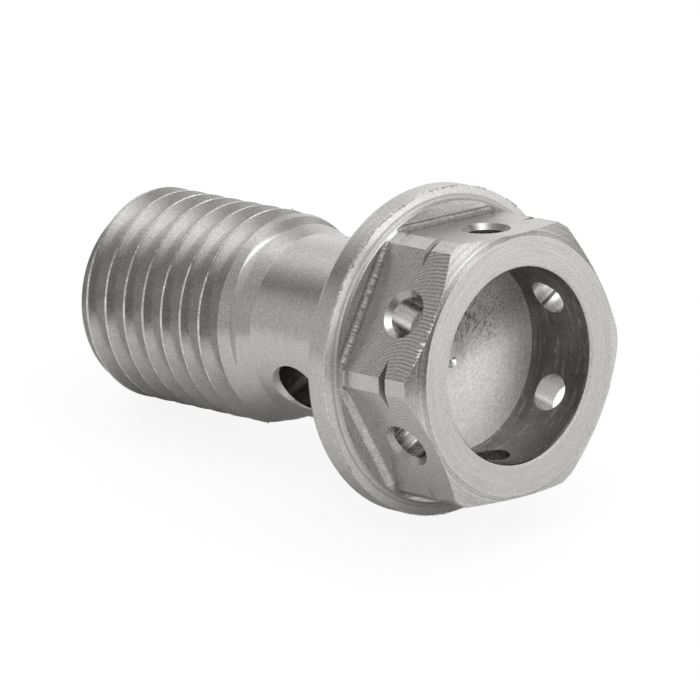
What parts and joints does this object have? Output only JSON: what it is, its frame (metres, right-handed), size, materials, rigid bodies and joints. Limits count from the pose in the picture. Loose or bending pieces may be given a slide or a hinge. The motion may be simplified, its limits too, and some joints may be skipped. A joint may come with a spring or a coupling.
{
  "type": "banjo bolt",
  "caption": "Hollow fluid bolt with a flanged hexagon head, recessed and cross-drilled for lock wire, a plain neck with a cross hole, and a fine right-hand thread.",
  "frame": {"origin": "centre of the head's flat face, on which the bolt stands", "axes": "+Z along the bolt's axis, from the head to the threaded tip. +X through the middle of one flat of the hexagon. The cross hole lies along the flats at 60 and 240 degrees from +X"},
  "size_m": [0.015, 0.015, 0.0245],
  "materials": {
    "titanium": "bare titanium alloy, satin, with fine turning and milling marks"
  },
  "bodies": {
    "root": {"banjo_bolt": "titanium"}
  },
  "joints": []
}
